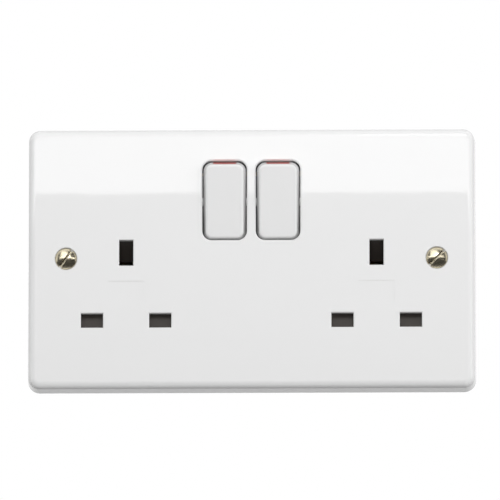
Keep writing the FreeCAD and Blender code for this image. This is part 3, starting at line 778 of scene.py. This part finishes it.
class SOCKET_OT_springs(bpy.types.Operator):
    """Wind the shutter springs and the plunger springs from round wire"""

    bl_idname = "socket.springs"
    bl_label = "Springs"

    def execute(self, context):
        sizes = context.scene.socket_sizes
        tint = context.scene.socket_finish.steel
        grain = (3000.0, 3000.0, 3000.0)
        steel = metal("spring wire", tint, grain, smooth=0.2, rough=0.35, dull=0.8)
        for side in SIDES:
            self.shutter_spring(side, sizes, steel)
            self.plunger_spring(side, sizes, steel)
        return {"FINISHED"}

    def shutter_spring(self, side, sizes, steel):
        low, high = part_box("shutter_spring_" + side)
        foot = Vector(((low.x + high.x) / 2, (low.y + high.y) / 2, low.z))
        bm = bmesh.new()
        coil_spring(bm, sizes.shutter_turns, high.z - low.z, sizes.coil, sizes.wire)
        bmesh.ops.transform(bm, matrix=Matrix.Translation(foot), verts=bm.verts)
        piece = new_piece("shutter_coil_" + side, bm, steel, "housing")
        shade_by_angle(piece, degrees=50)
        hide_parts("shutter_spring_" + side)
        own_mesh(piece)

    def plunger_spring(self, side, sizes, steel):
        tilt = math.radians(6)
        along = Vector((0.0, math.cos(tilt), math.sin(tilt)))
        tall = 0.00445
        low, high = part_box("plunger_spring_" + side)
        start = (low + high) / 2 - along * (tall / 2)
        spin = Vector((0.0, 0.0, 1.0)).rotation_difference(along).to_matrix().to_4x4()
        bm = bmesh.new()
        coil_spring(bm, sizes.plunger_turns, tall, sizes.coil, sizes.wire)
        bmesh.ops.transform(bm, matrix=Matrix.Translation(start) @ spin, verts=bm.verts)
        piece = new_piece("plunger_coil_" + side, bm, steel, "rocker_" + side)
        shade_by_angle(piece, degrees=50)
        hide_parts("plunger_spring_" + side)
        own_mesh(piece)


def facing(place, aim, axis):
    """Rotation that turns an object's axis from its place towards an aim."""
    return (Vector(aim) - Vector(place)).to_track_quat(axis, "Y").to_euler()


def area_lamp(name, place, aim, across, down, energy):
    data = bpy.data.lights.new(name, "AREA")
    data.shape = "RECTANGLE"
    data.size = across
    data.size_y = down
    data.energy = energy
    lamp = bpy.data.objects.new(name, data)
    lamp.location = place
    lamp.rotation_euler = facing(place, aim, "-Z")
    bpy.context.scene.collection.objects.link(lamp)
    return lamp


def square_sheet(scene, name, half):
    """Flat square of the stage, across its own Z axis."""
    bm = bmesh.new()
    bmesh.ops.create_grid(bm, x_segments=1, y_segments=1, size=half)
    mesh = bpy.data.meshes.new(name)
    bm.to_mesh(mesh)
    bm.free()
    sheet = bpy.data.objects.new(name, mesh)
    scene.collection.objects.link(sheet)
    return sheet


def seen_rays(tree):
    """Mask of the rays that show the surroundings, straight or in a mirror."""
    rays = add_node(tree, "ShaderNodeLightPath")
    seen = add_node(tree, "ShaderNodeMath", operation="MAXIMUM")
    tree.links.new(rays.outputs["Is Camera Ray"], seen.inputs[0])
    tree.links.new(rays.outputs["Is Glossy Ray"], seen.inputs[1])
    shown = add_node(tree, "ShaderNodeMath", operation="MAXIMUM")
    tree.links.new(seen.outputs["Value"], shown.inputs[0])
    tree.links.new(rays.outputs["Is Transmission Ray"], shown.inputs[1])
    return shown.outputs["Value"]


class SOCKET_OT_stage(bpy.types.Operator):
    """Set up the floor, the white surroundings, the lamps and the camera"""

    bl_idname = "socket.stage"
    bl_label = "Studio"

    def execute(self, context):
        scene = context.scene
        studio = scene.socket_studio
        scene.view_settings.view_transform = "Standard"
        self.surroundings(scene, studio)
        self.floor(scene)
        self.lamps(studio)
        self.cards(scene)
        self.camera(scene, studio)
        return {"FINISHED"}

    def lamps(self, studio):
        face = cad_box[0].y
        strip_height = 0.0882
        strip_place = (0.0, face - 0.30, strip_height)
        strip_aim = (0.0, 0.0, strip_height)
        area_lamp("strip light", strip_place, strip_aim, 0.7, 0.038, studio.strip_power)
        area_lamp("key light", (0.12, -1.25, 0.62), MIDDLE, 0.6, 0.4, studio.key_power)
        left_share = 0.35
        soft = (
            ("left light", (-1.1, -0.5, 0.05), left_share * studio.side_power),
            ("right light", (1.1, -0.5, 0.05), studio.side_power),
            ("low light", (0.0, -1.7, -0.3), studio.low_power),
            ("back light", (0.0, 1.6, 0.2), studio.back_power),
        )
        for name, place, energy in soft:
            area_lamp(name, place, MIDDLE, 0.8, 0.6, energy).visible_glossy = False

    def cards(self, scene):
        # Painted reflections, seen only in mirrors: two near-black sheets paint a dark room into
        # the screws and the plate's edges, and a glowing card, which is no lamp, paints the
        # highlight on the screws.
        table = (0.0, -1.02, -0.15)
        above_table = (0.0, -1.02, 0.0)
        self.card(scene, "dark reflection flag", (0.0, -1.4, 0.0), MIDDLE, half=2.2, grey=0.02, glow=0.0)
        self.card(scene, "dark reflection table", table, above_table, half=0.9, grey=0.02, glow=0.0)
        self.card(scene, "painted highlight card", (-0.35, -1.0, 0.75), MIDDLE, half=0.42, grey=0.9, glow=1.3)

    def card(self, scene, name, place, aim, half, grey, glow):
        """Card that only mirrors show: a painted reflection, dark or glowing, that lights nothing.
        """
        card = square_sheet(scene, name, half)
        card.location = place
        card.rotation_euler = facing(place, aim, "Z")
        paper = matt_plastic(name, (grey, grey, grey), smooth=0.8, rough=0.9, bump=0.01)
        shader = paper.node_tree.nodes["Principled BSDF"]
        shader.inputs["Emission Color"].default_value = (1.0, 1.0, 0.96, 1.0)
        shader.inputs["Emission Strength"].default_value = glow
        card.data.materials.append(paper)
        card.visible_camera = False
        card.visible_diffuse = False
        card.visible_shadow = False

    def camera(self, scene, studio):
        face = cad_box[0].y
        aim = Vector((studio.aim_across, face, studio.aim_height))
        place = Vector((studio.camera_across, face - studio.distance, studio.camera_height))
        data = bpy.data.cameras.new("camera")
        data.sensor_width = 36.0
        data.lens = data.sensor_width * (aim - place).length / studio.picture_width
        camera = bpy.data.objects.new("camera", data)
        camera.location = place
        camera.rotation_euler = facing(place, aim, "-Z")
        scene.collection.objects.link(camera)
        scene.camera = camera

    def surroundings(self, scene, studio):
        world = bpy.data.worlds.new("white studio")
        world.use_nodes = True
        scene.world = world
        tree = world.node_tree
        shader = tree.nodes["Background"]
        place = add_node(tree, "ShaderNodeTexCoord")
        ways = add_node(tree, "ShaderNodeSeparateXYZ")
        tree.links.new(place.outputs["Generated"], ways.inputs["Vector"])
        sky = add_node(tree, "ShaderNodeMapRange", interpolation_type="SMOOTHSTEP")
        horizon = 0.4
        sky.inputs["From Min"].default_value = -horizon
        sky.inputs["From Max"].default_value = horizon
        sky.inputs["To Min"].default_value = studio.fill_below
        sky.inputs["To Max"].default_value = studio.fill_above
        tree.links.new(ways.outputs["Z"], sky.inputs["Value"])
        level = add_node(tree, "ShaderNodeMapRange")
        level.inputs["To Max"].default_value = 1.0
        tree.links.new(sky.outputs["Result"], level.inputs["To Min"])
        tree.links.new(seen_rays(tree), level.inputs["Value"])
        shader.inputs["Color"].default_value = (1.0, 1.0, 1.0, 1.0)
        tree.links.new(level.outputs["Result"], shader.inputs["Strength"])

    def floor(self, scene):
        plane = square_sheet(scene, "floor", 0.8)
        plane.location = (0.0, 0.0, -0.2)
        pale = glossy_white("pale floor", (0.88, 0.88, 0.88))
        plane.data.materials.append(pale)
        self.light_floor(pale.node_tree)
        self.fade_floor(pale.node_tree)

    def light_floor(self, tree):
        """Matt floor that glows where it is seen and throws little light back."""
        shader = tree.nodes["Principled BSDF"]
        effect = tree.nodes["Effect"]
        effect.inputs["Smooth"].default_value = 0.6
        effect.inputs["Rough"].default_value = 0.8
        shown = seen_rays(tree)
        bounce = add_node(tree, "ShaderNodeMix", data_type="RGBA")
        bounce.inputs["A"].default_value = (0.2, 0.2, 0.2, 1.0)
        tree.links.new(shown, bounce.inputs["Factor"])
        tree.links.new(effect.outputs["Color"], bounce.inputs["B"])
        tree.links.new(bounce.outputs["Result"], shader.inputs["Base Color"])
        glow = add_node(tree, "ShaderNodeMath", operation="MULTIPLY")
        glow.inputs[1].default_value = 0.4
        tree.links.new(shown, glow.inputs[0])
        shader.inputs["Emission Color"].default_value = (1.0, 1.0, 1.0, 1.0)
        tree.links.new(glow.outputs["Value"], shader.inputs["Emission Strength"])

    def fade_floor(self, tree):
        """Let the floor vanish towards its margin, and when it is seen from below."""
        place = add_node(tree, "ShaderNodeTexCoord")
        reach = add_node(tree, "ShaderNodeVectorMath", operation="LENGTH")
        tree.links.new(place.outputs["Object"], reach.inputs[0])
        margin = add_node(tree, "ShaderNodeMapRange", interpolation_type="SMOOTHSTEP")
        margin.inputs["From Min"].default_value = 0.25
        margin.inputs["From Max"].default_value = 0.78
        tree.links.new(reach.outputs["Value"], margin.inputs["Value"])
        sides = add_node(tree, "ShaderNodeNewGeometry")
        gone = add_node(tree, "ShaderNodeMath", operation="MAXIMUM")
        tree.links.new(sides.outputs["Backfacing"], gone.inputs[0])
        tree.links.new(margin.outputs["Result"], gone.inputs[1])
        clear = add_node(tree, "ShaderNodeBsdfTransparent")
        faded = add_node(tree, "ShaderNodeMixShader")
        tree.links.new(gone.outputs["Value"], faded.inputs[0])
        tree.links.new(tree.nodes["Principled BSDF"].outputs["BSDF"], faded.inputs[1])
        tree.links.new(clear.outputs["BSDF"], faded.inputs[2])
        tree.links.new(faded.outputs["Shader"], tree.nodes["Material Output"].inputs["Surface"])


class SOCKET_PT_panel(bpy.types.Panel):
    """Lists the pieces of the socket"""

    bl_idname = "SOCKET_PT_panel"
    bl_label = "Twin Switched Socket"
    bl_space_type = "VIEW_3D"
    bl_region_type = "UI"
    bl_category = "Socket"

    def draw(self, context):
        layout = self.layout
        for step in STEPS:
            layout.operator("socket." + step)
        scene = context.scene
        for group in (scene.socket_finish, scene.socket_sizes, scene.socket_studio):
            column = layout.column()
            for key in group.__annotations__:
                column.prop(group, key)


STEPS = (
    "stage",
    "plate",
    "rockers",
    "back",
    "conductors",
    "fixing_screws",
    "rear_screws",
    "springs",
)
CLASSES = (
    SocketFinish,
    SocketSizes,
    SocketStudio,
    SOCKET_OT_plate,
    SOCKET_OT_rockers,
    SOCKET_OT_back,
    SOCKET_OT_conductors,
    SOCKET_OT_fixing_screws,
    SOCKET_OT_rear_screws,
    SOCKET_OT_springs,
    SOCKET_OT_stage,
    SOCKET_PT_panel,
)


def register():
    for kind in CLASSES:
        bpy.utils.register_class(kind)
    bpy.types.Scene.socket_finish = PointerProperty(type=SocketFinish)
    bpy.types.Scene.socket_sizes = PointerProperty(type=SocketSizes)
    bpy.types.Scene.socket_studio = PointerProperty(type=SocketStudio)


def unregister():
    del bpy.types.Scene.socket_studio
    del bpy.types.Scene.socket_sizes
    del bpy.types.Scene.socket_finish
    for kind in reversed(CLASSES):
        bpy.utils.unregister_class(kind)


def main():
    register()
    for step in STEPS:
        getattr(bpy.ops.socket, step)()


if __name__ == "__main__":
    main()
